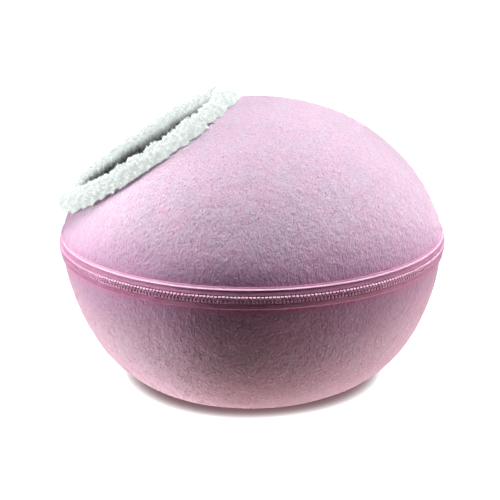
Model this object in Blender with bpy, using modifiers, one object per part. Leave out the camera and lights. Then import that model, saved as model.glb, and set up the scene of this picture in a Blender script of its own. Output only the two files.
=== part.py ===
"""A felt pet cave: two felted shells joined by a zip, with a plush trim round its tilted mouth.

Metres, +Z up. The origin is on the floor under the centre. The mouth faces -Y and up, and the cave
is the same on both sides of the YZ plane, apart from the slider of its zip and the give of its felt.
"""
import math

import bmesh
import bpy
from mathutils import Matrix, Vector

# Felt shells
FELT_RADIUS = 0.216          # outside of the felt at the zip
FELT_THICKNESS = 0.005
DOME_HEIGHT = 0.1565         # top of the dome over the zip's middle
DOME_UP_POWER = 1.611        # how the dome's outline rounds over, upwards and outwards
DOME_OUT_POWER = 2.134
BOWL_DEPTH = 0.173           # depth that the bowl's curve would reach
BOWL_UP_POWER = 1.512
BOWL_OUT_POWER = 4.06
ZIP_HEIGHT = 0.160           # middle of the zip over the floor, where the bowl's base is flat
EDGE_STRIP = 0.004           # upright edge of each shell behind the teeth
FELT_GIVE = 0.0030           # how far the felt swells in and out between its fixed edges
GIVE_SPAN = 0.10             # breadth of one swelling

# Mouth
MOUTH_TILT = math.radians(32.7)   # lean of the mouth's axis from upright towards -Y
MOUTH_PLANE = 0.146               # from the zip's centre to the cut, along the mouth's axis

# Plush trim
TRIM_RADIUS = 0.0130
TRIM_STATIONS = 108
TRIM_ROUNDING = 4                 # a bevel resolution of 4 gives 12 sides

# Zip
CHAIN_WIDTH = 0.0080
CHAIN_DEPTH = 0.0033
TAPE_DEPTH = 0.0016
UPPER_TAPE_TOP = 0.0130           # over the zip's middle
RIDGE_TALL = 0.0034
RIDGE_DEPTH = 0.0042
LOWER_TAPE_FOOT = 0.0106          # under the zip's middle
HEM_TALL = 0.0018
HEM_DEPTH = 0.0022
SLIDER_TURN = math.radians(125.0)  # where the slider stands, round from +X
SLIDER_LENGTH = 0.0150
SLIDER_TALL = 0.0116
SLIDER_DEPTH = 0.0020
BRIDGE_WIDTH = 0.0026
BRIDGE_POST = 0.0018
BRIDGE_REACH = 0.0034             # posts' reach out of the slider's plate
BAR_DEPTH = 0.0014                # of the bar across the posts
BRIDGE_SPAN = 0.0084              # over both posts, up and down
PULL_LENGTH = 0.0300
PULL_WIDTH = 0.0085
PULL_DEPTH = 0.0014
PULL_TOP = 0.0012                 # top of the pull over the zip's middle
PULL_SLACK = 0.0006               # play of the pull's eye round the bridge's lower post

GAP = 0.0003                      # between pieces that touch
STEPS = 64                        # steps round the cave
DOME_ROWS = 12
BOWL_ROWS = 10
MERGE = 0.00005

# Lumps of the plush: waves round the mouth, their share of the trim's radius, and their start
TRIM_LUMPS = (
    {"waves": 9, "share": 0.045, "start": 0.6},
    {"waves": 17, "share": 0.050, "start": 2.1},
    {"waves": 31, "share": 0.040, "start": 4.4},
)


def clear_scene():
    for old in list(bpy.data.objects):
        bpy.data.objects.remove(old, do_unlink=True)


def new_collection(name):
    made = bpy.data.collections.new(name)
    bpy.context.scene.collection.children.link(made)
    return made


def finish(name, colour, roughness):
    """A matt or satin finish of one plain colour."""
    made = bpy.data.materials.new(name)
    made.use_nodes = True
    shader = made.node_tree.nodes["Principled BSDF"]
    shader.inputs["Base Color"].default_value = (*colour, 1.0)
    shader.inputs["Roughness"].default_value = roughness
    shader.inputs["Metallic"].default_value = 0.0
    return made


def add_object(name, mesh, collection, material=None):
    made = bpy.data.objects.new(name, mesh)
    collection.objects.link(made)
    if material:
        mesh.materials.append(material)
    return made


def smooth(thing):
    thing.data.shade_smooth()
    thing.data.set_sharp_from_angle(angle=math.radians(40.0))


def hide_as_cutter(thing):
    thing.hide_render = True
    thing.display_type = "WIRE"


def cut(thing, cutter, operation="DIFFERENCE"):
    tool = thing.modifiers.new("cut " + cutter.name, "BOOLEAN")
    tool.operation = operation
    tool.solver = "EXACT"
    tool.object = cutter


# Outlines

def dome_radius(up):
    """Outside radius of the dome at a height over the zip's middle."""
    share = min(max((up - EDGE_STRIP) / (DOME_HEIGHT - EDGE_STRIP), 0.0), 1.0)
    return FELT_RADIUS * (1.0 - share ** DOME_UP_POWER) ** (1.0 / DOME_OUT_POWER)


def bowl_radius(down):
    """Outside radius of the bowl at a depth under the zip's middle."""
    share = min(max((down - EDGE_STRIP) / (BOWL_DEPTH - EDGE_STRIP), 0.0), 1.0)
    return FELT_RADIUS * (1.0 - share ** BOWL_UP_POWER) ** (1.0 / BOWL_OUT_POWER)


def dome_outline():
    """From the dome's top down to its edge at the zip, as (radius, height) over the floor."""
    points = []
    for row in range(DOME_ROWS + 1):
        turn = math.pi / 2 * (1.0 - row / DOME_ROWS)
        up = EDGE_STRIP + (DOME_HEIGHT - EDGE_STRIP) * math.sin(turn) ** (2.0 / DOME_UP_POWER)
        points.append((dome_radius(up) if row else 0.0, ZIP_HEIGHT + up))
    return points + [(FELT_RADIUS, ZIP_HEIGHT + GAP / 2.0)]


def bowl_outline():
    """From the bowl's edge at the zip down its side and in along its flat base."""
    free_depth = BOWL_DEPTH - EDGE_STRIP
    last = math.asin(((ZIP_HEIGHT - EDGE_STRIP) / free_depth) ** (BOWL_UP_POWER / 2.0))
    points = [(FELT_RADIUS, ZIP_HEIGHT - GAP / 2.0)]
    for row in range(BOWL_ROWS + 1):
        turn = last * row / BOWL_ROWS
        down = EDGE_STRIP + free_depth * math.sin(turn) ** (2.0 / BOWL_UP_POWER)
        points.append((bowl_radius(down), ZIP_HEIGHT - down))
    foot = points[-1][0]
    return points + [(foot / 2.0, 0.0), (0.0, 0.0)]


# Felt shells

def turned_sheet(name, outline, held, collection, material, clearance=0.0):
    """A sheet of felt turned about Z, with the give of its free stretches.

    held are the numbers of the outline's points that keep their place, and clearance is how much
    thicker each face stands than the felt's own.
    """
    mesh = bpy.data.meshes.new(name)
    edges = [(i, i + 1) for i in range(len(outline) - 1)]
    mesh.from_pydata([(radius, 0.0, up) for radius, up in outline], edges, [])
    made = add_object(name, mesh, collection, material)

    free = made.vertex_groups.new(name="free")
    for number in range(len(outline)):
        if number not in held:
            free.add([number], 1.0, "REPLACE")

    turn = made.modifiers.new("turn", "SCREW")
    turn.steps = turn.render_steps = STEPS
    turn.use_merge_vertices = True
    turn.merge_threshold = MERGE
    turn.use_smooth_shade = True

    swell = made.modifiers.new("swell", "DISPLACE")
    swell.texture = give_texture()
    swell.texture_coords = "LOCAL"
    swell.strength = FELT_GIVE
    swell.mid_level = 0.5
    swell.vertex_group = free.name

    wall = made.modifiers.new("wall", "SOLIDIFY")
    wall.thickness = FELT_THICKNESS + 2.0 * clearance
    wall.offset = 2.0 * clearance / wall.thickness - 1.0
    wall.use_even_offset = True
    return made


def give_texture():
    """Slow swellings, the same for every sheet of the dome."""
    name = "felt give"
    if name not in bpy.data.textures:
        clouds = bpy.data.textures.new(name, "CLOUDS")
        clouds.noise_scale = GIVE_SPAN
        clouds.noise_depth = 0
    return bpy.data.textures[name]


# Mouth

MOUTH_AXIS = Vector((0.0, -math.sin(MOUTH_TILT), math.cos(MOUTH_TILT)))
MOUTH_UP = Vector((0.0, math.cos(MOUTH_TILT), math.sin(MOUTH_TILT)))
ZIP_CENTRE = Vector((0.0, 0.0, ZIP_HEIGHT))


def outside_dome(point):
    up = point.z - ZIP_HEIGHT
    return up < 0.0 or math.hypot(point.x, point.y) > dome_radius(up) or up > DOME_HEIGHT


def reach_to_dome(start, direction):
    """How far the dome's outside lies from a point within it."""
    low, high = 0.0, 2.0 * FELT_RADIUS
    for _ in range(40):
        middle = (low + high) / 2.0
        if outside_dome(start + direction * middle):
            high = middle
        else:
            low = middle
    return low


def mouth_centre():
    """Centre of the cut that the mouth's plane makes in the dome."""
    start = ZIP_CENTRE + MOUTH_AXIS * MOUTH_PLANE
    to_top = reach_to_dome(start, MOUTH_UP)
    to_foot = reach_to_dome(start, -MOUTH_UP)
    return start + MOUTH_UP * (to_top - to_foot) / 2.0


def mouth_cutter(name, clearance, collection):
    """A drum that stands on the mouth's plane and takes away all of the dome beyond it."""
    drum = bmesh.new()
    tall = FELT_RADIUS
    bmesh.ops.create_cone(drum, cap_ends=True, segments=24, radius1=FELT_RADIUS,
                          radius2=FELT_RADIUS, depth=tall)
    bmesh.ops.translate(drum, verts=drum.verts, vec=(0.0, 0.0, tall / 2.0 + clearance))
    mesh = bpy.data.meshes.new(name)
    drum.to_mesh(mesh)
    drum.free()
    made = add_object(name, mesh, collection)
    made.rotation_euler = (MOUTH_TILT, 0.0, 0.0)
    made.location = mouth_centre()
    hide_as_cutter(made)
    return made


def lump(turn):
    """The trim's thickness at a turn round the mouth, against its plain thickness."""
    return 1.0 + sum(wave["share"] * math.sin(wave["waves"] * turn + wave["start"])
                     for wave in TRIM_LUMPS)


def trim_tube(collection):
    """A lumpy tube whose middle runs along the mouth's outer edge."""
    centre = mouth_centre()
    path = bpy.data.curves.new("trim path", "CURVE")
    path.dimensions = "3D"
    path.bevel_depth = TRIM_RADIUS
    path.bevel_resolution = TRIM_ROUNDING
    path.twist_mode = "Z_UP"
    spline = path.splines.new("POLY")
    spline.points.add(TRIM_STATIONS - 1)
    spline.use_cyclic_u = True
    for number, point in enumerate(spline.points):
        turn = 2.0 * math.pi * number / TRIM_STATIONS
        outwards = Vector((math.cos(turn), 0.0, 0.0)) + MOUTH_UP * math.sin(turn)
        place = centre + outwards * reach_to_dome(centre, outwards)
        point.co = (*place, 1.0)
        point.radius = lump(turn)
    return as_mesh(bpy.data.objects.new("mouth_trim", path), collection)


def as_mesh(thing, collection):
    """The same thing as a mesh, in place of its curve."""
    collection.objects.link(thing)
    bpy.context.view_layer.update()
    seen = thing.evaluated_get(bpy.context.evaluated_depsgraph_get())
    mesh = bpy.data.meshes.new_from_object(seen)
    name, place = thing.name, thing.matrix_world.copy()
    bpy.data.objects.remove(thing, do_unlink=True)
    skin = bmesh.new()
    skin.from_mesh(mesh)
    bmesh.ops.remove_doubles(skin, verts=skin.verts, dist=MERGE)
    bmesh.ops.recalc_face_normals(skin, faces=skin.faces)
    skin.to_mesh(mesh)
    skin.free()
    made = add_object(name, mesh, collection)
    made.matrix_world = place
    return made


# Zip

def turned_band(name, section, collection, material):
    """A closed band: its section, as (radius, height) running down its outer side, turned about Z."""
    mesh = bpy.data.meshes.new(name)
    count = len(section)
    edges = [(i, (i + 1) % count) for i in range(count)]
    mesh.from_pydata([(radius, 0.0, up) for radius, up in section], edges, [])
    made = add_object(name, mesh, collection, material)
    turn = made.modifiers.new("turn", "SCREW")
    turn.steps = turn.render_steps = STEPS
    turn.use_merge_vertices = True
    turn.merge_threshold = MERGE
    return made


def upper_tape_section():
    """The tape from its raised ridge down to the teeth, then back up against the felt."""
    foot = CHAIN_WIDTH / 2.0 + GAP
    top = UPPER_TAPE_TOP
    ridge_foot = top - RIDGE_TALL
    outside = (
        (top, TAPE_DEPTH * 0.6),
        (top - RIDGE_TALL * 0.12, RIDGE_DEPTH * 0.88),
        (top - RIDGE_TALL * 0.45, RIDGE_DEPTH),
        (top - RIDGE_TALL * 0.80, RIDGE_DEPTH * 0.86),
        (ridge_foot, TAPE_DEPTH),
        (foot, TAPE_DEPTH),
    )
    down = [(dome_radius(up) + GAP + depth, ZIP_HEIGHT + up) for up, depth in outside]
    inside = [(dome_radius(up) + GAP, ZIP_HEIGHT + up) for up in (foot, ridge_foot, top)]
    return down + inside


def lower_tape_section():
    """The tape from the teeth down to its turned lower edge, then back up against the felt."""
    top = CHAIN_WIDTH / 2.0 + GAP
    foot = LOWER_TAPE_FOOT
    outside = (
        (top, TAPE_DEPTH),
        (foot - HEM_TALL, TAPE_DEPTH),
        (foot - HEM_TALL * 0.7, HEM_DEPTH),
        (foot, HEM_DEPTH * 0.8),
    )
    down = [(bowl_radius(low) + GAP + depth, ZIP_HEIGHT - low) for low, depth in outside]
    inside = [(bowl_radius(low) + GAP, ZIP_HEIGHT - low) for low in (foot, top)]
    return down + inside


def chain_section():
    """The closed teeth as one band with eased outer edges."""
    inside = FELT_RADIUS + GAP
    outside = inside + CHAIN_DEPTH
    half = CHAIN_WIDTH / 2.0
    eased = CHAIN_DEPTH / 4.0
    return [
        (inside, ZIP_HEIGHT + half),
        (outside - eased, ZIP_HEIGHT + half),
        (outside, ZIP_HEIGHT + half - eased),
        (outside, ZIP_HEIGHT - half + eased),
        (outside - eased, ZIP_HEIGHT - half),
        (inside, ZIP_HEIGHT - half),
    ]


def block(name, low, high, collection):
    """A box between two corners."""
    shape = bmesh.new()
    size = [top - bottom for bottom, top in zip(low, high)]
    middle = [(top + bottom) / 2.0 for bottom, top in zip(low, high)]
    bmesh.ops.create_cube(shape, size=1.0)
    bmesh.ops.scale(shape, verts=shape.verts, vec=size)
    bmesh.ops.translate(shape, verts=shape.verts, vec=middle)
    mesh = bpy.data.meshes.new(name)
    shape.to_mesh(mesh)
    shape.free()
    return add_object(name, mesh, collection)


def ease_edges(thing, width):
    tool = thing.modifiers.new("eased edges", "BEVEL")
    tool.width = width
    tool.segments = 2
    tool.limit_method = "ANGLE"
    tool.angle_limit = math.radians(40.0)


def stand_on_zip(thing):
    """Turn a piece that was built at +X, at the zip's height, to the slider's place."""
    thing.matrix_world = Matrix.Translation(ZIP_CENTRE) @ Matrix.Rotation(SLIDER_TURN, 4, "Z")


SLIDER_FACE = FELT_RADIUS + CHAIN_DEPTH + 2.0 * GAP
PLATE_FACE = SLIDER_FACE + SLIDER_DEPTH
POST_DROP = BRIDGE_SPAN / 2.0 - BRIDGE_POST    # inner side of each post from the zip's middle


def slider(parts, cutters, material):
    """The plate over the teeth with a bridge of two posts and a bar on it."""
    half_long, half_tall = SLIDER_LENGTH / 2.0, SLIDER_TALL / 2.0
    body = block("zip_slider", (SLIDER_FACE, -half_long, -half_tall),
                 (PLATE_FACE, half_long, half_tall), parts)
    body.data.materials.append(material)
    half_wide, half_span = BRIDGE_WIDTH / 2.0, BRIDGE_SPAN / 2.0
    sunk = SLIDER_DEPTH / 2.0
    bridge = block("bridge", (PLATE_FACE - sunk, -half_wide, -half_span),
                   (PLATE_FACE + BRIDGE_REACH, half_wide, half_span), cutters)
    window = block("bridge window", (PLATE_FACE - SLIDER_DEPTH, -BRIDGE_WIDTH, -POST_DROP),
                   (PLATE_FACE + BRIDGE_REACH - BAR_DEPTH, BRIDGE_WIDTH, POST_DROP), cutters)
    ease_edges(body, SLIDER_DEPTH * 0.3)
    cut(bridge, window)
    cut(body, bridge, "UNION")
    for piece in (body, bridge, window):
        stand_on_zip(piece)
    for piece in (bridge, window):
        hide_as_cutter(piece)


def pull(parts, cutters, material):
    """A flat tab whose eye hangs on the bridge's lower post."""
    near = PLATE_FACE + GAP
    half_wide = PULL_WIDTH / 2.0
    tab = block("zip_pull", (near, -half_wide, PULL_TOP - PULL_LENGTH),
                (near + PULL_DEPTH, half_wide, PULL_TOP), parts)
    tab.data.materials.append(material)
    half_eye = BRIDGE_WIDTH / 2.0 + PULL_SLACK
    eye = block("pull eye", (near - PULL_DEPTH, -half_eye, -POST_DROP - BRIDGE_POST - PULL_SLACK),
                (near + 2.0 * PULL_DEPTH, half_eye, -POST_DROP + GAP), cutters)
    ease_edges(tab, PULL_DEPTH * 0.3)
    cut(tab, eye)
    for piece in (tab, eye):
        stand_on_zip(piece)
    hide_as_cutter(eye)


def build():
    clear_scene()
    parts = new_collection("felt_pet_cave")
    cutters = new_collection("cutters")
    felt = finish("pink felt", (0.78, 0.52, 0.68), 0.95)
    plush = finish("white plush", (0.86, 0.89, 0.87), 0.95)
    tape = finish("pink tape", (0.72, 0.42, 0.56), 0.70)
    plastic = finish("pink zip plastic", (0.70, 0.44, 0.56), 0.40)

    bowl_line = bowl_outline()
    base = (len(bowl_line) - 3, len(bowl_line) - 2, len(bowl_line) - 1)
    turned_sheet("lower_bowl", bowl_line, (0, 1, 2, *base), parts, felt)

    dome_line = dome_outline()
    edge = (DOME_ROWS - 1, DOME_ROWS, DOME_ROWS + 1)
    dome = turned_sheet("upper_dome", dome_line, edge, parts, felt)
    cut(dome, mouth_cutter("mouth", 0.0, cutters))

    room = turned_sheet("room for the felt", dome_line, edge, cutters, felt, GAP)
    cut(room, mouth_cutter("mouth and gap", GAP, cutters))
    hide_as_cutter(room)
    trim = trim_tube(parts)
    trim.data.materials.append(plush)
    cut(trim, room)

    turned_band("zip_tape_upper", upper_tape_section(), parts, tape)
    turned_band("zip_tape_lower", lower_tape_section(), parts, tape)
    turned_band("zip_chain", chain_section(), parts, plastic)
    slider(parts, cutters, plastic)
    pull(parts, cutters, plastic)
    for piece in parts.objects:
        smooth(piece)


build()
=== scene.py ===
import math

import bmesh
import bpy
import numpy as np
from mathutils import Matrix, Vector, noise
from mathutils.bvhtree import BVHTree


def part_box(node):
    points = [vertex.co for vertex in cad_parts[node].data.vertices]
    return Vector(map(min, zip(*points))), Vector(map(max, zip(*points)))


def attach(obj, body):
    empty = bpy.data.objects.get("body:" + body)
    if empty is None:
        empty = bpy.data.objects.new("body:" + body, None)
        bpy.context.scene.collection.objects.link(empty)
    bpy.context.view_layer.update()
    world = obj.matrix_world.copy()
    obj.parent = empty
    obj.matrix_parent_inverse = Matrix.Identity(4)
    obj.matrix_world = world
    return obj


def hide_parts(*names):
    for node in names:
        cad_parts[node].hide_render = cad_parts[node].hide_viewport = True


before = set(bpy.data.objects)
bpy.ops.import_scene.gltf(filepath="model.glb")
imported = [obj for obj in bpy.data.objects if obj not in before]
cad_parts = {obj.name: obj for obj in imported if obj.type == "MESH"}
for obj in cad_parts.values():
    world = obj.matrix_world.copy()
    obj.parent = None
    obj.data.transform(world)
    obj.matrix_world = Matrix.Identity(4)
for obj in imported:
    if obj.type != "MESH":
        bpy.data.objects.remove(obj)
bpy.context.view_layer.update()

# Sizes of the cave, in metres, as its solids have them
FELT_RADIUS = 0.216
FELT_THICKNESS = 0.005
DOME_HEIGHT = 0.1565
DOME_UP_POWER = 1.611
DOME_OUT_POWER = 2.134
BOWL_DEPTH = 0.173
BOWL_UP_POWER = 1.512
BOWL_OUT_POWER = 4.06
ZIP_HEIGHT = (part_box("zip_chain")[0].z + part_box("zip_chain")[1].z) / 2.0
EDGE_STRIP = 0.004
FELT_GIVE = 0.0030
GIVE_SPAN = 0.10
MOUTH_TILT = math.radians(32.7)
MOUTH_PLANE = 0.146
TRIM_RADIUS = 0.0130
CHAIN_WIDTH = 0.0080
CHAIN_DEPTH = 0.0033
UPPER_TAPE_TOP = 0.0130
LOWER_TAPE_FOOT = 0.0106
SLIDER_TURN = math.radians(125.0)
GAP = 0.0003
TRIM_LUMPS = ((9, 0.045, 0.6), (17, 0.050, 2.1), (31, 0.040, 4.4))  # waves, share, start

# Camera, from the photograph's outline of the cave
CAMERA_TURN = math.radians(95.5)
CAMERA_RISE = math.radians(17.43)
CAMERA_AWAY = 1.50  # from the zip's centre
FOCUS_PX = 1304.5  # focal length in pixels of the 500 pixel frame
CENTRE_PX = (252.13, 234.54)  # where the zip's centre lies in that frame
CAMERA_ROLL = math.radians(-0.24)
FRAME_PX = 500.0
SENSOR = 0.036

ZIP_CENTRE = Vector((0.0, 0.0, ZIP_HEIGHT))
MOUTH_AXIS = Vector((0.0, -math.sin(MOUTH_TILT), math.cos(MOUTH_TILT)))
MOUTH_UP = Vector((0.0, math.cos(MOUTH_TILT), math.sin(MOUTH_TILT)))


# Shader nodes. Patterns are laid out in metres, in the object's own coordinates.

def fill(tree, socket, value):
    """Feeds a socket from another one, or sets it to a plain value."""
    if isinstance(value, bpy.types.NodeSocket):
        tree.links.new(value, socket)
    else:
        socket.default_value = value


def worked_out(tree, kind, operation, values):
    node = tree.nodes.new(kind)
    node.operation = operation
    for socket, value in zip(node.inputs, values):
        fill(tree, socket, value)
    return node.outputs


def math_node(tree, operation, *values):
    """A Math node on sockets or plain numbers. Returns its result."""
    return worked_out(tree, "ShaderNodeMath", operation, values)["Value"]


def vector_node(tree, operation, *values, output="Vector"):
    """A Vector Math node on sockets or plain vectors. Returns its result."""
    return worked_out(tree, "ShaderNodeVectorMath", operation, values)[output]


def places(tree):
    return tree.nodes.new("ShaderNodeTexCoord").outputs["Object"]


def parted(tree, where):
    """The X, Y and Z of the coordinates."""
    node = tree.nodes.new("ShaderNodeSeparateXYZ")
    tree.links.new(where, node.inputs["Vector"])
    return node.outputs


def stretched(tree, where, turn, scale):
    """The coordinates turned, then scaled, so that a pattern runs long along one way."""
    node = tree.nodes.new("ShaderNodeMapping")
    node.inputs["Rotation"].default_value = turn
    node.inputs["Scale"].default_value = scale
    tree.links.new(where, node.inputs["Vector"])
    return node.outputs["Vector"]


def noise_node(tree, where, span, detail=2.0, rough=0.5, output="Fac"):
    """Noise whose features are about span metres across."""
    node = tree.nodes.new("ShaderNodeTexNoise")
    node.inputs["Scale"].default_value = 1.0 / span
    node.inputs["Detail"].default_value = detail
    node.inputs["Roughness"].default_value = rough
    tree.links.new(where, node.inputs["Vector"])
    return node.outputs[output]


def warped(tree, where, span, reach):
    """The coordinates pushed about by slow noise, so that fibres curl."""
    push = noise_node(tree, where, span, 1.0, 0.5, "Color")
    centred = vector_node(tree, "SUBTRACT", push, (0.5, 0.5, 0.5))
    return vector_node(tree, "MULTIPLY_ADD", centred, (reach, reach, reach), where)


def ramped(tree, value, low, high, to_low=0.0, to_high=1.0):
    """The value eased from one range into another."""
    node = tree.nodes.new("ShaderNodeMapRange")
    node.interpolation_type = "SMOOTHSTEP"
    for name, end in (("From Min", low), ("From Max", high), ("To Min", to_low), ("To Max", to_high)):
        node.inputs[name].default_value = end
    tree.links.new(value, node.inputs["Value"])
    return node.outputs["Result"]


def mixed(tree, share, first, second):
    """Two colours, each a socket or plain numbers, mixed by a share."""
    node = tree.nodes.new("ShaderNodeMix")
    node.data_type = "RGBA"
    tree.links.new(share, node.inputs["Factor"])
    for name, colour in (("A", first), ("B", second)):
        socket = [s for s in node.inputs if s.name == name and s.type == "RGBA"][0]
        fill(tree, socket, (*colour, 1.0) if isinstance(colour, tuple) else colour)
    return [s for s in node.outputs if s.type == "RGBA"][0]


def bumped(tree, height, depth):
    node = tree.nodes.new("ShaderNodeBump")
    node.inputs["Distance"].default_value = depth
    node.inputs["Strength"].default_value = 1.0
    tree.links.new(height, node.inputs["Height"])
    return node.outputs["Normal"]


def material(name, colour, roughness, settings):
    """A material with these settings on its shader. Returns it with its tree and its shader."""
    made = bpy.data.materials.new(name)
    made.use_nodes = True
    shader = made.node_tree.nodes["Principled BSDF"]
    shader.inputs["Base Color"].default_value = (*colour, 1.0)
    shader.inputs["Roughness"].default_value = roughness
    for socket, value in settings.items():
        shader.inputs[socket].default_value = value
    return made, made.node_tree, shader


# Camera, light and floor

def camera():
    rise, turn = CAMERA_RISE, CAMERA_TURN
    back = Vector((math.sin(turn) * math.cos(rise), -math.cos(turn) * math.cos(rise), math.sin(rise)))
    data = bpy.data.cameras.new("camera")
    data.sensor_width = SENSOR * 1000.0
    data.lens = SENSOR * 1000.0 * FOCUS_PX / FRAME_PX
    made = add_object("camera", data)
    facing = (-back).to_track_quat("-Z", "Y")
    across = (CENTRE_PX[0] - FRAME_PX / 2.0) / FOCUS_PX
    above = (FRAME_PX / 2.0 - CENTRE_PX[1]) / FOCUS_PX
    made.location = ZIP_CENTRE + back * CAMERA_AWAY
    made.rotation_mode = "QUATERNION"
    turned = Matrix.Rotation(math.atan(across), 4, "Y") @ Matrix.Rotation(-math.atan(above), 4, "X")
    rolled = Matrix.Rotation(CAMERA_ROLL, 4, "Z")
    made.rotation_quaternion = (facing.to_matrix().to_4x4() @ turned @ rolled).to_quaternion()
    data.clip_start, data.clip_end = 0.05, 50.0
    bpy.context.scene.camera = made


# Studio light that lights every surface but isn't seen by the camera: soft lobes round the cave.
# Each row is its way, how narrow it is, its strength and its colour. The side towards the camera
# stays dim, and what comes up from below is a little warm.
WHITE = (1.0, 1.0, 1.0)
WARM = (1.0, 0.80, 0.74)
TENT_LOBES = (
    ((0.0, 0.0, 1.0), 45.0, 20.8, WHITE),
    ((0.0, 0.0, -1.0), 40.0, 11.0, WARM),
    ((0.0, -1.0, 0.0), 45.0, 20.0, WHITE),
    ((0.0, 1.0, 0.0), 45.0, 6.2, WHITE),
    ((0.0, -1.0, 0.7), 20.0, 1.4, WHITE),
    ((0.0, 1.0, 0.7), 20.0, 1.5, WHITE),
    ((0.0, 1.0, -0.7), 20.0, 0.9, WARM),
    ((-1.0, 1.5, 0.0), 12.0, 1.7, WHITE),
    ((-1.0, 0.0, -1.5), 12.0, 2.4, WARM),
    ((-1.0, 0.0, 0.1), 12.0, 1.0, WHITE),
)
BACKDROP = 1.05  # what the camera sees round the floor


def lights():
    world = bpy.data.worlds.new("studio")
    bpy.context.scene.world = world
    world.use_nodes = True
    tree = world.node_tree
    shown = tree.nodes["Background"]
    shown.inputs["Color"].default_value = (1.0, 1.0, 1.0, 1.0)
    shown.inputs["Strength"].default_value = BACKDROP
    tent = tree.nodes.new("ShaderNodeBackground")
    tent.inputs["Strength"].default_value = 1.0
    heading = tree.nodes.new("ShaderNodeTexCoord").outputs["Generated"]
    total = (0.0, 0.0, 0.0)
    for way, power, strength, colour in TENT_LOBES:
        facing = vector_node(tree, "DOT_PRODUCT", heading, Vector(way).normalized(), output="Value")
        narrow = math_node(tree, "POWER", math_node(tree, "MAXIMUM", facing, 0.0), power)
        total = vector_node(tree, "MULTIPLY_ADD", narrow, Vector(colour) * strength, total)
    tree.links.new(total, tent.inputs["Color"])
    path = tree.nodes.new("ShaderNodeLightPath")
    mix = tree.nodes.new("ShaderNodeMixShader")
    tree.links.new(path.outputs["Is Camera Ray"], mix.inputs["Fac"])
    tree.links.new(tent.outputs["Background"], mix.inputs[1])
    tree.links.new(shown.outputs["Background"], mix.inputs[2])
    tree.links.new(mix.outputs["Shader"], tree.nodes["World Output"].inputs["Surface"])


FLOOR_SHADE = (0.19, 0.13, 0.14)  # where the cave meets it
FLOOR_SHADE_REACH = 0.021
FLOOR_WHITE = (1.02, 1.02, 1.02)
FLOOR_RADIUS = 6.0


def floor():
    """A white floor, evenly lit, that only darkens close to the cave."""
    shape = bmesh.new()
    bmesh.ops.create_circle(shape, cap_ends=True, segments=96, radius=FLOOR_RADIUS)
    mesh = bpy.data.meshes.new("floor")
    shape.to_mesh(mesh)
    shape.free()
    made = add_object("floor", mesh)
    mat, tree, shader = material("floor_white", (0.0, 0.0, 0.0), 1.0,
                                 {"Specular IOR Level": 0.0, "Emission Strength": 1.0})
    near = tree.nodes.new("ShaderNodeAmbientOcclusion")
    near.samples = 16
    near.inputs["Distance"].default_value = FLOOR_SHADE_REACH
    open_share = ramped(tree, near.outputs["AO"], 0.05, 0.90)
    tree.links.new(mixed(tree, open_share, FLOOR_SHADE, FLOOR_WHITE), shader.inputs["Emission Color"])
    mesh.materials.append(mat)
    made.visible_diffuse = False
    made.visible_glossy = False
    made.visible_transmission = False
    made.visible_shadow = False
    mat.cycles.emission_sampling = "NONE"


# Outlines

def clamped(share):
    return min(max(share, 0.0), 1.0)


def bent(value, power):
    """The value to a power, its sign kept."""
    return math.copysign(abs(value) ** power, value)


def dome_radius(up):
    share = clamped((up - EDGE_STRIP) / (DOME_HEIGHT - EDGE_STRIP))
    return FELT_RADIUS * (1.0 - share ** DOME_UP_POWER) ** (1.0 / DOME_OUT_POWER)


def bowl_radius(down):
    share = clamped((down - EDGE_STRIP) / (BOWL_DEPTH - EDGE_STRIP))
    return FELT_RADIUS * (1.0 - share ** BOWL_UP_POWER) ** (1.0 / BOWL_OUT_POWER)


def evenly(points, spacing):
    """The same outline with its points at an even spacing, its ends kept."""
    line = np.array(points)
    run = np.concatenate([[0.0], np.cumsum(np.linalg.norm(np.diff(line, axis=0), axis=1))])
    count = max(2, round(run[-1] / spacing)) + 1
    at = np.linspace(0.0, run[-1], count)
    return [(float(np.interp(s, run, line[:, 0])), float(np.interp(s, run, line[:, 1]))) for s in at]


FINE = 400  # points on a curve before it is spaced evenly
FELT_SPACING = 0.0042  # between a shell's rows


def dome_outline():
    points = []
    for row in range(FINE + 1):
        turn = math.pi / 2 * (1.0 - row / FINE)
        up = EDGE_STRIP + (DOME_HEIGHT - EDGE_STRIP) * math.sin(turn) ** (2.0 / DOME_UP_POWER)
        points.append((dome_radius(up) if row else 0.0, ZIP_HEIGHT + up))
    return evenly(points + [(FELT_RADIUS, ZIP_HEIGHT + GAP / 2.0)], FELT_SPACING)


def bowl_outline():
    free_depth = BOWL_DEPTH - EDGE_STRIP
    last = math.asin(((ZIP_HEIGHT - EDGE_STRIP) / free_depth) ** (BOWL_UP_POWER / 2.0))
    points = [(FELT_RADIUS, ZIP_HEIGHT - GAP / 2.0)]
    for row in range(FINE + 1):
        turn = last * row / FINE
        down = EDGE_STRIP + free_depth * math.sin(turn) ** (2.0 / BOWL_UP_POWER)
        points.append((bowl_radius(down), ZIP_HEIGHT - down))
    return evenly(points + [(0.0, 0.0)], FELT_SPACING)


# Mesh helpers

def add_object(name, data):
    made = bpy.data.objects.new(name, data)
    bpy.context.scene.collection.objects.link(made)
    return made


def mesh_from(name, verts, faces):
    mesh = bpy.data.meshes.new(name)
    mesh.from_pydata([tuple(v) for v in verts], [], faces)
    mesh.validate()
    return mesh


def applied(thing, name):
    """The thing as its modifiers leave it, as a new object, in place of the old one."""
    bpy.context.view_layer.update()
    seen = thing.evaluated_get(bpy.context.evaluated_depsgraph_get())
    mesh = bpy.data.meshes.new_from_object(seen)
    mesh.name = name
    bpy.data.objects.remove(thing, do_unlink=True)
    return add_object(name, mesh)


def vectors(items, name):
    """A vector of each vertex or face, as an array with three columns."""
    flat = np.empty(len(items) * 3)
    items.foreach_get(name, flat)
    return flat.reshape(-1, 3)


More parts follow.
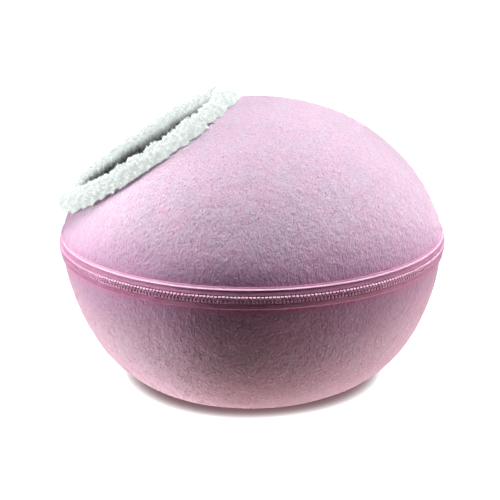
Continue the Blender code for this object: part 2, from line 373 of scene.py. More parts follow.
def walls(rows, each, closed):
    """The faces between rings of so many points each. Closed joins the last ring to the first."""
    faces = []
    for row in range(rows if closed else rows - 1):
        after = (row + 1) % rows
        for side in range(each):
            along = (side + 1) % each
            faces.append((row * each + side, row * each + along,
                          after * each + along, after * each + side))
    return faces


def faced_out(mesh):
    shape = bmesh.new()
    shape.from_mesh(mesh)
    bmesh.ops.recalc_face_normals(shape, faces=shape.faces)
    shape.to_mesh(mesh)
    shape.free()


def joined_parts(name, parts):
    """One mesh of parts that are each points and faces, all its faces turned outwards."""
    verts, faces, start = [], [], 0
    for points, polygons in parts:
        verts.append(points)
        faces += [tuple(corner + start for corner in face) for face in polygons]
        start += len(points)
    mesh = mesh_from(name, np.concatenate(verts), faces)
    faced_out(mesh)
    return mesh


def smooth(mesh, angle=None):
    mesh.shade_smooth()
    if angle:
        mesh.set_sharp_from_angle(angle=math.radians(angle))


# Felt shells

STEPS = 288  # round the cave
GIVE_ROWS = 6.0  # over which a shell's give grows from its sewn edge
SEWN_ROWS = 3  # at a shell's edge, which the zip holds still
DOME_FREE_FROM = -20  # before the first row, so that the dome's top is free
BASE_CLEAR = 0.0005  # rows of the bowl below this height stay flat
SEAM_MERGE = 0.00005
FADE_START = 0.001  # from the tape's edge to where the dimples begin
FADE_RUN = 0.010  # over which they grow to their full depth
BASE_FADE = 0.006  # the same over the floor
FELT_DIMPLES = ((0.045, 0.00050), (0.018, 0.00022), (0.008, 0.00012))  # span, height


def turned_sheet(name, outline, first_free, last_free):
    """The outside of a felt shell, turned about Z, with its slow swellings."""
    mesh = bpy.data.meshes.new(name)
    edges = [(i, i + 1) for i in range(len(outline) - 1)]
    mesh.from_pydata([(radius, 0.0, up) for radius, up in outline], edges, [])
    made = add_object(name, mesh)
    free = made.vertex_groups.new(name="free")
    for number in range(len(outline)):
        give = clamped(min(number - first_free, last_free - number) / GIVE_ROWS)
        free.add([number], give, "REPLACE")
    turn = made.modifiers.new("turn", "SCREW")
    turn.steps = turn.render_steps = STEPS
    turn.use_merge_vertices = True
    turn.merge_threshold = SEAM_MERGE
    swell = made.modifiers.new("swell", "DISPLACE")
    swell.texture = give_texture()
    swell.texture_coords = "LOCAL"
    swell.strength = FELT_GIVE
    swell.mid_level = 0.5
    swell.vertex_group = free.name
    return applied(made, name)


def give_texture():
    name = "felt give"
    if name not in bpy.data.textures:
        clouds = bpy.data.textures.new(name, "CLOUDS")
        clouds.noise_scale = GIVE_SPAN
        clouds.noise_depth = 0
    return bpy.data.textures[name]


def dimple(mesh, fade):
    """Fine lumps of the felt. fade gives their share at a point, to leave sewn edges plain."""
    where, out = vectors(mesh.vertices, "co"), vectors(mesh.vertices, "normal")
    for number, (place, way) in enumerate(zip(where, out)):
        lift = 0.0
        for span, height in FELT_DIMPLES:
            lift += height * noise.noise(Vector(place) / span)
        where[number] = place + way * lift * fade(place)
    mesh.vertices.foreach_set("co", where.ravel())
    mesh.update()


def felt_shell(name, outline, node, first_free, last_free, fade, cut_mouth):
    shell = turned_sheet(name, outline, first_free, last_free)
    if cut_mouth:
        skin = bmesh.new()
        skin.from_mesh(shell.data)
        everything = skin.verts[:] + skin.edges[:] + skin.faces[:]
        bmesh.ops.bisect_plane(skin, geom=everything, plane_co=mouth_centre(),
                               plane_no=MOUTH_AXIS, clear_outer=True)
        skin.to_mesh(shell.data)
        skin.free()
    dimple(shell.data, fade)
    wall = shell.modifiers.new("wall", "SOLIDIFY")
    wall.thickness = FELT_THICKNESS
    wall.offset = -1.0
    wall.use_even_offset = True
    shell = applied(shell, name)
    smooth(shell.data, 60.0)
    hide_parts(node)
    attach(shell, "root")
    return shell


def bowl_fade(place):
    below_tape = ZIP_HEIGHT - place[2] - LOWER_TAPE_FOOT
    return clamped((below_tape - FADE_START) / FADE_RUN) * clamped(place[2] / BASE_FADE)


def dome_fade(place):
    above_tape = place[2] - ZIP_HEIGHT - UPPER_TAPE_TOP
    return clamped((above_tape - FADE_START) / FADE_RUN)


# Mouth

HALVINGS = 40  # in the search for the dome's skin
RIM_NUDGE = 0.01  # to each side, for the rim's way at a turn


def outside_dome(point):
    up = point.z - ZIP_HEIGHT
    return up < 0.0 or math.hypot(point.x, point.y) > dome_radius(up) or up > DOME_HEIGHT


def reach_to_dome(start, direction):
    low, high = 0.0, 2.0 * FELT_RADIUS
    for _ in range(HALVINGS):
        middle = (low + high) / 2.0
        if outside_dome(start + direction * middle):
            high = middle
        else:
            low = middle
    return low


def mouth_centre():
    start = ZIP_CENTRE + MOUTH_AXIS * MOUTH_PLANE
    to_top = reach_to_dome(start, MOUTH_UP)
    to_foot = reach_to_dome(start, -MOUTH_UP)
    return start + MOUTH_UP * (to_top - to_foot) / 2.0


def lump(turn):
    return 1.0 + sum(share * np.sin(waves * turn + start) for waves, share, start in TRIM_LUMPS)


def rim_frame_at(turn):
    """Place on the mouth's outer edge, its outward way and its forward way at a turn."""
    centre = mouth_centre()
    spots = []
    for at in (turn - RIM_NUDGE, turn, turn + RIM_NUDGE):
        way = Vector((math.cos(at), 0.0, 0.0)) + MOUTH_UP * math.sin(at)
        spots.append(centre + way * reach_to_dome(centre, way))
    forward = (spots[2] - spots[0]).normalized()
    return spots[1], forward.cross(MOUTH_AXIS).normalized(), forward


# Tubes joined in one mesh

TUBE_SIDES = 3


def unit(ways):
    return ways / (np.linalg.norm(ways, axis=-1, keepdims=True) + 1e-12)


def joined_tubes(name, paths, radii, across):
    """Closed tapering tubes in one mesh, each ending in a point.

    paths is (tubes, stations, 3), radii (tubes, stations - 1), and across a way for each tube that
    its middle line never runs along. The attribute tip runs from 0 at a tube's root to 1 at its end.
    """
    count, stations = paths.shape[:2]
    ways = unit(np.gradient(paths, axis=1))
    first = unit(np.cross(ways, across[:, None, :]))
    second = np.cross(ways, first)
    turns = math.tau * np.arange(TUBE_SIDES) / TUBE_SIDES
    ring = (np.cos(turns)[None, None, :, None] * first[:, :-1, None, :]
            + np.sin(turns)[None, None, :, None] * second[:, :-1, None, :])
    body = paths[:, :-1, None, :] + ring * radii[:, :, None, None]
    verts = np.concatenate([body.reshape(count, -1, 3), paths[:, -1:, :]], axis=1)
    each = verts.shape[1]
    one = walls(stations - 1, TUBE_SIDES, False)
    last = (stations - 2) * TUBE_SIDES
    for side in range(TUBE_SIDES):
        one.append((last + side, last + (side + 1) % TUBE_SIDES, each - 1))
    one.append(tuple(reversed(range(TUBE_SIDES))))
    faces = [tuple(corner + start for corner in face) for start in range(0, count * each, each)
             for face in one]
    mesh = mesh_from(name, verts.reshape(-1, 3), faces)
    along = np.append(np.repeat(np.linspace(0.0, 1.0, stations)[:-1], TUBE_SIDES), 1.0)
    mesh.attributes.new("tip", "FLOAT", "POINT").data.foreach_set("value", np.tile(along, count))
    smooth(mesh)
    return mesh


# Plush trim

CORE_RADIUS = 0.0115  # of the backing, under the pile
CORE_STATIONS = 300
CORE_SIDES = 26
SLOT_ROOM = 0.0012  # round the felt's edge, inside the roll
CREASES = 30  # soft creases round the mouth
CREASE_SHARE = 0.09  # how far they draw the roll in
RIM_STEPS = 1440  # at which the mouth's edge is worked out for the pile
PILE_STATIONS = 4
TUFT_REACH = 0.0021  # of a tuft's roots from its middle
TUFT_STRAY = 0.0012  # from an even spread
PILES = 3  # pieces that share out the tufts: the first three rows below
# Name, tufts, strands in each, their least and most rise, lean and thickness, how far they gather
PILE_ROWS = (
    ("plush_pile", 1250, 7, (0.0034, 0.0052), (0.0006, 0.0026), (0.00034, 0.00050), 0.52),
    ("plush_curls", 1250, 7, (0.0030, 0.0046), (0.0008, 0.0030), (0.00034, 0.00050), 0.42),
    ("plush_fluff", 1250, 7, (0.0032, 0.0056), (0.0006, 0.0028), (0.00028, 0.00044), 0.60),
    ("plush_hairs", 4500, 1, (0.0036, 0.0058), (0.0006, 0.0032), (0.00012, 0.00022), 0.0),
)
PILE_START = -math.pi / 2.0 + 0.08
PILE_SPAN = math.tau - 0.53
PILE_SPILL = (0.04, 0.05)  # how far strands pass the start and the end of the pile
PILE_SEED = 11
EVEN_STEPS = (0.7548776662, 0.5698402910)  # from point to point of an even spread over a plane
RIM_RUN = 0.11  # metres of rim a radian
ROOT_DEPTH = 0.0006  # in the backing
CREASE_CUT = 0.50  # how much shorter the pile is at the bottom of a crease
TALL_SPREAD = (0.80, 1.12)  # between the strands of a tuft
LEAN_SPREAD = (0.8, 1.2)
TUFT_VEER = 0.6
STRAND_VEER = 0.20
CLOSED_RISE = 1.08  # of a tuft's closed tip
KNEE_RISE = 0.80
KNEE_LEAN = 0.10
PILE_TAPER = 0.65


def creased(turn, spin):
    """How far a crease draws the roll in at a point, from 0 to 1. The creases run slantwise."""
    wave = np.sin(CREASES * (turn + 0.045 * np.sin(3.0 * turn + 0.7)) + 1.3 * spin)
    depth = 0.55 + 0.45 * np.sin(5.0 * turn + 1.0) * np.sin(11.0 * turn)
    return np.maximum(0.0, wave) ** 3 * depth


def trim_section(turn):
    """Felt's way out of the roll and the roll's frame at a turn round the mouth."""
    place, out, forward = rim_frame_at(turn)
    up = place.z - ZIP_HEIGHT
    step = 0.001
    fall = Vector((place.x, place.y, 0.0)).normalized() * (dome_radius(up - step) - dome_radius(up))
    slope = (fall - Vector((0.0, 0.0, step))).normalized()
    slope = (slope - forward * slope.dot(forward)).normalized()
    if slope.dot(MOUTH_AXIS) > 0.0:
        slope = -slope
    skin = slope.cross(forward).normalized()
    if skin.dot(out) < 0.0:
        skin = -skin
    return place, slope, skin, forward


def trim_core():
    """The roll's backing: a thick C whose slot holds the felt's edge."""
    verts = []
    inner = -FELT_THICKNESS - SLOT_ROOM
    for station in range(CORE_STATIONS):
        turn = math.tau * station / CORE_STATIONS
        place, slope, skin, _ = trim_section(turn)
        radius = CORE_RADIUS * lump(turn)
        spins = np.linspace(-math.acos(SLOT_ROOM / radius),
                            math.tau - math.acos(inner / radius), CORE_SIDES)
        for spin in spins:
            reach = radius * (1.0 - CREASE_SHARE * creased(turn, spin))
            verts.append(place + (skin * math.cos(spin) - slope * math.sin(spin)) * reach)
        verts.append(place + skin * inner - slope * SLOT_ROOM)
        verts.append(place + skin * SLOT_ROOM - slope * SLOT_ROOM)
    faces = [(a, d, c, b) for a, b, c, d in walls(CORE_STATIONS, CORE_SIDES + 2, True)]
    mesh = mesh_from("plush_trim", verts, faces)
    faced_out(mesh)
    smooth(mesh, 60.0)
    return add_object("plush_trim", mesh)


def rim_table():
    """Place, slope, skin and forward way at even turns round the mouth, as arrays."""
    rows = [trim_section(math.tau * step / RIM_STEPS) for step in range(RIM_STEPS)]
    return [np.array([list(row[part]) for row in rows]) for part in range(4)]


def roll_spots(table, turns, spins, extra):
    """Points on the roll at these turns and spins, extra above its backing, and the ways out."""
    at = np.mod(turns / math.tau * RIM_STEPS, RIM_STEPS)
    before = at.astype(int) % RIM_STEPS
    share = (at - np.floor(at))[:, None]
    place, slope, skin, forward = [
        part[before] * (1.0 - share) + part[(before + 1) % RIM_STEPS] * share for part in table]
    cos, sin = np.cos(spins)[:, None], np.sin(spins)[:, None]
    out = skin * cos - slope * sin
    around = -(skin * sin + slope * cos)
    reach = CORE_RADIUS * lump(turns) * (1.0 - CREASE_SHARE * creased(turns, spins)) + extra
    return place + out * reach[:, None], out, around, forward


def pile(name, table, part, tufts, strands, rise, lean, thick, gather):
    """Pile in tufts: the strands of each start spread out and close up towards one curled tip.

    rise, lean and thick are (least, most) in metres, gather how far the tips close up, 0 to 1.
    Tufts are spread evenly, and part is which of the PILES takes them.
    """
    chance = np.random.RandomState(PILE_SEED + part)
    count = tufts * strands
    order = np.arange(tufts) * PILES + part
    turns = math.tau * np.mod(0.5 + EVEN_STEPS[0] * order, 1.0)
    spins = PILE_START + PILE_SPAN * np.mod(0.5 + EVEN_STEPS[1] * order, 1.0)
    turns = np.repeat(turns + chance.normal(0.0, TUFT_STRAY / RIM_RUN, tufts), strands)
    spins = np.repeat(spins + chance.normal(0.0, TUFT_STRAY / CORE_RADIUS, tufts), strands)
    spins = np.clip(spins, PILE_START, PILE_START + PILE_SPAN)
    around_tuft = chance.uniform(0.0, math.tau, count)
    away = TUFT_REACH * np.sqrt(chance.uniform(0.0, 1.0, count))
    own_turns = turns + away * np.cos(around_tuft) / RIM_RUN
    own_spins = np.clip(spins + away * np.sin(around_tuft) / CORE_RADIUS,
                        PILE_START - PILE_SPILL[0], PILE_START + PILE_SPAN + PILE_SPILL[1])
    draw = creased(turns, spins)
    tall = (np.repeat(chance.uniform(*rise, tufts), strands) * (1.0 - CREASE_CUT * draw)
            * chance.uniform(*TALL_SPREAD, count))
    long = np.repeat(chance.uniform(*lean, tufts), strands) * chance.uniform(*LEAN_SPREAD, count)
    slow = 0.9 * np.sin(5.0 * turns[::strands]) + 0.6 * np.sin(23.0 * turns[::strands] + 2.0)
    veer = np.repeat(chance.normal(0.0, TUFT_VEER, tufts) + slow, strands)
    veer = veer + chance.normal(0.0, STRAND_VEER, count)
    root, out, around, forward = roll_spots(table, own_turns, own_spins, -ROOT_DEPTH)
    centre, out_centre, _, _ = roll_spots(table, turns, spins, 0.0)
    comb = around * np.cos(veer)[:, None] + forward * np.sin(veer)[:, None]
    free = root + out * tall[:, None]
    closed = centre + out_centre * (tall * CLOSED_RISE)[:, None]
    tip = free * (1.0 - gather) + closed * gather + comb * long[:, None]
    knee = root + out * (tall * KNEE_RISE)[:, None] + comb * (long * KNEE_LEAN)[:, None]
    share = np.linspace(0.0, 1.0, PILE_STATIONS)[None, :, None]
    paths = (root[:, None] * (1.0 - share) ** 2 + knee[:, None] * 2.0 * share * (1.0 - share)
             + tip[:, None] * share ** 2)
    width = chance.uniform(*thick, count)
    radii = width[:, None] * (1.0 - PILE_TAPER * share[:, :-1, 0] ** 1.5)
    across = np.cross(out, comb)
    return add_object(name, joined_tubes(name, paths, radii, across))


def plush():
    """The roll's backing, the pile that covers it and finer stray hairs."""
    table = rim_table()
    roll = trim_core()
    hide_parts("mouth_trim")
    piles = [pile(name, table, part, *row) for part, (name, *row) in enumerate(PILE_ROWS)]
    for piece in [roll] + piles:
        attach(piece, "root")
    return roll, piles


# Zip

BAND_STEPS = 720
TOOTH_PITCH = 0.0039
WEB_DEPTH = 0.0007  # of the tape behind the teeth
RIDGE_WIDE = 0.0019  # the roll along the tape's upper edge
RIDGE_OUT = 0.0022
RIDGE_DROP = 0.0022  # from the tape's upper edge to the roll


def band(name, section):
    """A closed section, as (radius, height), turned about Z."""
    line = np.array(section)
    turns = math.tau * np.arange(BAND_STEPS) / BAND_STEPS
    verts = np.stack([
        np.outer(np.cos(turns), line[:, 0]),
        np.outer(np.sin(turns), line[:, 0]),
        np.broadcast_to(line[:, 1], (BAND_STEPS, len(line))),
    ], axis=2).reshape(-1, 3)
    mesh = mesh_from(name, verts, walls(BAND_STEPS, len(line), True))
    smooth(mesh, 50.0)
    return add_object(name, mesh)


def upper_tape():
    """The tape from its rolled upper ridge, by a hollow, out to the teeth and in behind them."""
    foot = CHAIN_WIDTH / 2.0 + GAP
    ridge_top = UPPER_TAPE_TOP - RIDGE_DROP
    ridge_foot = ridge_top - RIDGE_WIDE
    outside = [(UPPER_TAPE_TOP, 0.0003), (ridge_top + 0.0002, 0.0006)]
    for part in range(9):
        turn = math.pi * (0.06 + 0.86 * part / 8)
        outside.append((ridge_top - RIDGE_WIDE * (0.5 - 0.5 * math.cos(turn)),
                        0.0008 + (RIDGE_OUT - 0.0008) * math.sin(turn) ** 0.8))
    outside += [
        (ridge_foot - 0.0001, 0.0015),
        (ridge_foot - 0.0007, 0.0015),
        (ridge_foot - 0.0018, 0.0016),
        (ridge_foot - 0.0028, 0.0018),
        (foot + 0.0004, 0.0020),
        (foot + 0.0001, 0.0017),
        (foot, 0.0013),
        (foot - 0.0002, WEB_DEPTH),
        (0.0002, WEB_DEPTH),
    ]
    down = [(dome_radius(up) + GAP + depth, ZIP_HEIGHT + up) for up, depth in outside]
    inside = [(dome_radius(up) + GAP, ZIP_HEIGHT + up)
              for up in (0.0002, foot, ridge_foot, UPPER_TAPE_TOP)]
    return band("tape_upper", down + inside)


def lower_tape():
    """The tape from behind the teeth out and down to its rolled lower edge."""
    top = CHAIN_WIDTH / 2.0 + GAP
    foot = LOWER_TAPE_FOOT
    outside = [
        (0.0002, WEB_DEPTH),
        (top - 0.0002, WEB_DEPTH),
        (top + 0.0005, 0.0005),
        (top + 0.0007, 0.0012),
        (top + 0.0012, 0.0015),
        (top + 0.0022, 0.0014),
        (foot - 0.0026, 0.0017),
        (foot - 0.0014, 0.0019),
        (foot - 0.0004, 0.0019),
        (foot - 0.0001, 0.0016),
        (foot, 0.0003),
    ]
    down = [(bowl_radius(low) + GAP + depth, ZIP_HEIGHT - low) for low, depth in outside]
    inside = [(bowl_radius(low) + GAP, ZIP_HEIGHT - low) for low in (foot, top, 0.0002)]
    return band("tape_lower", down + inside)


def eased_box(low, high, ease):
    """Points and faces of a box with every edge cut off at 45 degrees."""
    shape = bmesh.new()
    bmesh.ops.create_cube(shape, size=1.0)
    size = [top - bottom for bottom, top in zip(low, high)]
    middle = [(top + bottom) / 2.0 for bottom, top in zip(low, high)]
    bmesh.ops.scale(shape, verts=shape.verts, vec=size)
    bmesh.ops.translate(shape, verts=shape.verts, vec=middle)
    bmesh.ops.bevel(shape, geom=shape.edges[:], offset=ease, segments=1, profile=0.5,
                    affect="EDGES")
    shape.verts.index_update()
    verts = np.array([list(vert.co) for vert in shape.verts])
    faces = [tuple(vert.index for vert in face.verts) for face in shape.faces]
    shape.free()
    return verts, faces


def drawn_in(outline, middle, amount):
    """The outline with each point moved towards the middle by an amount."""
    moved = []
    for point in outline:
        way = Vector((middle[0] - point[0], middle[1] - point[1])).normalized() * amount
        moved.append((point[0] + way.x, point[1] + way.y))
    return moved


def wedge(section, half_width, ease):
    """A section, as (depth, height), run across a tooth, its two ends a little smaller."""
    rows = []
    middle = [sum(point[part] for point in section) / len(section) for part in (0, 1)]
    for across, shrink in ((-half_width, ease), (-half_width + ease, 0.0),
                           (half_width - ease, 0.0), (half_width, ease)):
        rows += [(depth, across, height) for depth, height in drawn_in(section, middle, shrink)]
    each = len(section)
    ends = [tuple(reversed(range(each))), tuple(range(3 * each, 4 * each))]
    return np.array(rows), ends + walls(4, each, False)


def teeth():
    """Two rows of moulded teeth that close into each other, each with a foot and a head.

    The upper feet slope back at the top.
    """
    count = round(math.tau * (FELT_RADIUS + CHAIN_DEPTH) / TOOTH_PITCH)
    near = GAP + WEB_DEPTH + 0.0002
    far = GAP + CHAIN_DEPTH
    foot = wedge(((near, 0.0014), (far - 0.0006, 0.0014), (far - 0.0001, 0.0018), (far, 0.0024),
                  (far - 0.0002, 0.0028), (far - 0.0017, 0.0040), (near, 0.0041)),
                 0.00160, 0.00030)
    lower_foot = eased_box((near, -0.00155, 0.0016), (far - 0.0003, 0.00155, 0.0038), 0.00035)
    head = eased_box((near, -0.00090, -0.0009), (far - 0.0004, 0.00090, 0.0019), 0.00035)
    parts = []
    for row, side in ((0.0, 1.0), (0.5, -1.0)):
        for number in range(count):
            turn = math.tau * (number + row) / count
            for points, polygons in (foot if side > 0 else lower_foot, head):
                radius = FELT_RADIUS + points[:, 0]
                x = radius * math.cos(turn) - points[:, 1] * math.sin(turn)
                y = radius * math.sin(turn) + points[:, 1] * math.cos(turn)
                z = ZIP_HEIGHT + side * points[:, 2]
                parts.append((np.stack([x, y, z], axis=1),
                              [face if side > 0 else face[::-1] for face in polygons]))
    mesh = joined_parts("zip_teeth", parts)
    smooth(mesh, 25.0)
    return add_object("zip_teeth", mesh)


def zip_pieces():
    upper, lower, rows = upper_tape(), lower_tape(), teeth()
    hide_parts("zip_tape_upper")
    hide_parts("zip_tape_lower")
    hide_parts("zip_chain")
    for piece, slot in ((upper, "tape"), (lower, "tape"), (rows, "zip_plastic")):
        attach(piece, "root")
    return upper, lower, rows


# Slider and pull, built at +X at the zip's height and turned to their place at the end

SLIDER_FACE = FELT_RADIUS + CHAIN_DEPTH + 2.0 * GAP
PLATE_FACE = SLIDER_FACE + 0.0020
PLATE_HALF = (0.0075, 0.0058)
BRIDGE_HALF_SPAN = 0.0033  # from the zip's middle to each foot of the bridge
BRIDGE_RISE = 0.0031
BRIDGE_HALF = (0.0013, 0.0009)  # half its width and half its thickness
PULL_TOP = 0.0012
PULL_LENGTH = 0.0300
PULL_DEPTH = 0.0014
PULL_HALF = (0.0032, 0.00425)  # half its width at the top and at the foot
EYE_MIDDLE = -0.00345
EYE_HALF = (0.0019, 0.00135)
EYE_POWER = 0.6
OUTLINE_POINTS = 72
PLATE_POWERS = (0.45, 0.55)
PLATE_TAPER = 0.16
BRIDGE_SUNK = 0.0006
BRIDGE_STEPS = 16  # along it and round it
PULL_STEPS = 60
PULL_SPACING = 0.0009
RIBS = 5
RIB_START = 0.0052  # over the pull's foot
RIB_PITCH = 0.0021
RIB_HALF = (0.0004, 0.0028, 0.00055)
RIB_EASE = 0.00030


def rings_joined(rings, closed):
    """Points and faces of rings of points, each joined to the next. Open ends are filled."""
    each = len(rings[0])
    faces = walls(len(rings), each, closed)
    if not closed:
        faces.append(tuple(range(each)))
        faces.append(tuple(range((len(rings) - 1) * each, len(rings) * each)))
    return np.array([list(point) for ring in rings for point in ring]), faces


def stacked(outline, middle, profile):
    """The outline at each depth of the profile, drawn in by the amount that goes with it."""
    return [[(depth, across, up) for across, up in drawn_in(outline, middle, amount)]
            for depth, amount in profile]


def plate_outline():
    """The slider's plate: square-shouldered at one end, narrower and rounder at the other."""
    points = []
    for number in range(OUTLINE_POINTS):
        turn = math.tau * number / OUTLINE_POINTS
        across = PLATE_HALF[0] * bent(math.cos(turn), PLATE_POWERS[0])
        narrow = 1.0 - PLATE_TAPER * (0.5 + 0.5 * across / PLATE_HALF[0])
        points.append((across, PLATE_HALF[1] * narrow * bent(math.sin(turn), PLATE_POWERS[1])))
    return points


def slider_parts():
    rings = stacked(plate_outline(), (0.0, 0.0), (
        (SLIDER_FACE, 0.0003), (SLIDER_FACE + 0.0003, 0.0),
        (PLATE_FACE - 0.0007, 0.0), (PLATE_FACE - 0.0002, 0.0003),
        (PLATE_FACE, 0.0008), (PLATE_FACE, 0.0014), (PLATE_FACE - 0.0004, 0.0018)))
    arch = []
    for part in range(BRIDGE_STEPS + 1):
        turn = math.pi * part / BRIDGE_STEPS
        way = Vector((math.sin(turn) ** 0.5 * BRIDGE_RISE, -math.cos(turn) * BRIDGE_HALF_SPAN))
        ahead = Vector((math.cos(turn) * BRIDGE_RISE, math.sin(turn) * BRIDGE_HALF_SPAN))
        ahead.normalize()
        ring = []
        for side in range(BRIDGE_STEPS):
            spin = math.tau * side / BRIDGE_STEPS
            out = math.sin(spin) * BRIDGE_HALF[1]
            ring.append((PLATE_FACE - BRIDGE_SUNK + way.x + ahead.y * out,
                         math.cos(spin) * BRIDGE_HALF[0], way.y - ahead.x * out))
        arch.append(ring)
    return [rings_joined(rings, False), rings_joined(arch, False)]


def pull_half_width(up):
    share = (PULL_TOP - up) / PULL_LENGTH
    half = PULL_HALF[0] + (PULL_HALF[1] - PULL_HALF[0]) * clamped(share * 1.4 - 0.1)
    over_top = up - (PULL_TOP - PULL_HALF[0])
    under_foot = (PULL_TOP - PULL_LENGTH + PULL_HALF[1]) - up
    if over_top > 0.0:
        half = math.sqrt(max(PULL_HALF[0] ** 2 - over_top ** 2, 0.0))
    if under_foot > 0.0:
        half = math.sqrt(max(PULL_HALF[1] ** 2 - under_foot ** 2, 0.0))
    return half


def pull_parts():
    """The tab with its eye, and grip ribs on its lower half."""
    foot = PULL_TOP - PULL_LENGTH
    turns = [math.pi * part / PULL_STEPS for part in range(PULL_STEPS + 1)]
    ups = [foot + PULL_LENGTH * (0.5 - 0.5 * math.cos(turn)) for turn in turns]
    right = [(pull_half_width(up), up) for up in ups]
    left = [(-across, up) for across, up in reversed(right[1:-1])]
    outline = evenly(right + left + right[:1], PULL_SPACING)[:-1]
    hole = []
    for across, up in outline:
        turn = math.atan2((up - EYE_MIDDLE) / EYE_HALF[1], across / EYE_HALF[0])
        hole.append((EYE_HALF[0] * bent(math.cos(turn), EYE_POWER),
                     EYE_MIDDLE + EYE_HALF[1] * bent(math.sin(turn), EYE_POWER)))
    near, far = PLATE_FACE + GAP, PLATE_FACE + GAP + PULL_DEPTH
    rings = stacked(outline, (0.0, foot + PULL_LENGTH / 2.0), (
        (near, 0.0004), (near + 0.0003, 0.0), (far - 0.0004, 0.0), (far, 0.0005)))
    rings += stacked(hole, (0.0, EYE_MIDDLE), (
        (far, -0.0004), (far - 0.0004, 0.0), (near + 0.0003, 0.0), (near, -0.0003)))
    parts = [rings_joined(rings, True)]
    for number in range(RIBS):
        middle = (far, 0.0, foot + RIB_START + RIB_PITCH * number)
        parts.append(eased_box([at - half for at, half in zip(middle, RIB_HALF)],
                               [at + half for at, half in zip(middle, RIB_HALF)], RIB_EASE))
    return parts


def standing_on_zip(name, node, parts):
    mesh = joined_parts(name, parts)
    mesh.transform(Matrix.Translation(ZIP_CENTRE) @ Matrix.Rotation(SLIDER_TURN, 4, "Z"))
    smooth(mesh, 35.0)
    made = add_object(name, mesh)
    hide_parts(node)
    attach(made, "root")
    return made


# Loose fibres on the felt

FIBRE_STATIONS = 6
FIBRES = 2600  # on each shell
FIBRE_CENTRE = ZIP_HEIGHT - 0.04  # height of a point in the cave that the outside faces away from
FIBRE_FOOT = 0.004  # over the floor
FIBRE_CLEAR = 0.002  # from the tapes
FIBRE_RUN = (0.008, 0.020)
FIBRE_TURN = 0.7  # from straight down, in radians
FIBRE_CURL = 0.55
FIBRE_LIFT = 0.0009  # of a tip, at the most
FIBRE_SUNK = 0.00008
FIBRE_LOWEST = 0.0004
FIBRE_WIDTH = (0.00007, 0.00014)
FIBRE_TAPER = 0.6


def fibres(name, shell, seed):
    """Fine curved fibres that lie on the felt, mostly running down it, their tips a little free."""
    chance = np.random.RandomState(seed)
    mesh = shell.data
    tree = BVHTree.FromPolygons([tuple(v.co) for v in mesh.vertices],
                                [tuple(p.vertices) for p in mesh.polygons])
    centres, ways = vectors(mesh.polygons, "center"), vectors(mesh.polygons, "normal")
    areas = np.empty(len(mesh.polygons))
    mesh.polygons.foreach_get("area", areas)
    from_middle = centres - np.array([0.0, 0.0, FIBRE_CENTRE])
    outer = (np.einsum("ij,ij->i", from_middle, ways) > 0.0) & (centres[:, 2] > FIBRE_FOOT)
    beyond = (centres - np.array(mouth_centre())) @ np.array(MOUTH_AXIS)
    edge = np.abs(centres[:, 2] - ZIP_HEIGHT)
    outer &= (beyond < -TRIM_RADIUS * 0.8) & (edge > UPPER_TAPE_TOP + FIBRE_CLEAR)
    areas = np.where(outer, areas, 0.0)
    chosen = chance.choice(len(areas), FIBRES, p=areas / areas.sum())
    paths = np.empty((FIBRES, FIBRE_STATIONS, 3))
    radii = np.empty((FIBRES, FIBRE_STATIONS - 1))
    across = np.empty((FIBRES, 3))
    share = np.linspace(0.0, 1.0, FIBRE_STATIONS)
    for number, face in enumerate(chosen):
        place = Vector(centres[face])
        normal = Vector(ways[face])
        down = Vector((0.0, 0.0, -1.0))
        down = (down - normal * down.dot(normal)).normalized()
        side = normal.cross(down)
        heading = chance.normal(0.0, FIBRE_TURN)
        curl = chance.normal(0.0, FIBRE_CURL)
        step = chance.uniform(*FIBRE_RUN) / (FIBRE_STATIONS - 1)
        lift = chance.uniform(0.0, FIBRE_LIFT)
        for station in range(FIBRE_STATIONS):
            hit, found, _, _ = tree.find_nearest(place)
            if found.dot(normal) < 0.0:
                found = -found
            rise = lift * share[station] ** 2 - FIBRE_SUNK
            laid = hit + found * rise
            laid.z = max(laid.z, FIBRE_LOWEST)
            paths[number, station] = laid
            way = down * math.cos(heading) + side * math.sin(heading)
            place = hit + way * step
            heading += curl
        width = chance.uniform(*FIBRE_WIDTH)
        radii[number] = width * (1.0 - FIBRE_TAPER * share[:-1])
        across[number] = normal
    fluff = add_object(name, joined_tubes(name, paths, radii, across))
    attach(fluff, "root")
    return fluff


# Materials

FELT_PINK = (0.550, 0.440, 0.526)
FELT_LILAC = (0.520, 0.450, 0.526)
FELT_ROSE = (0.585, 0.405, 0.495)
FELT_SPOT = (0.650, 0.350, 0.450)
FELT_FIBRE = (0.735, 0.655, 0.725)
FELT_SHADE = (0.330, 0.145, 0.260)
# painted shade: the felt darker and deeper pink towards the zip
FELT_PAINTED_SHADE = (0.500, 0.275, 0.440)
# painted reflection: the tape's pink thrown onto a band of felt next to its sewn edge
FELT_PAINTED_REFLECTION = (0.570, 0.290, 0.450)
PAINTED_REFLECTION_SPAN = 0.14  # share of the way to the fade that the painted reflection next to the sewn edge takes
# Grain of each shell's felt, and the heights of its painted shade: edge is the sewn edge, fade where
# the painted shade ends
DOME_GRAIN_AND_SHADE = {"run": (1.0, 1.0, 0.18), "swell": 1.7,
              "edge": ZIP_HEIGHT + UPPER_TAPE_TOP, "fade": ZIP_HEIGHT + 0.065}
BOWL_GRAIN_AND_SHADE = {"run": (0.45, 0.45, 0.55), "swell": 1.1,
              "edge": ZIP_HEIGHT - LOWER_TAPE_FOOT, "fade": ZIP_HEIGHT - 0.085}


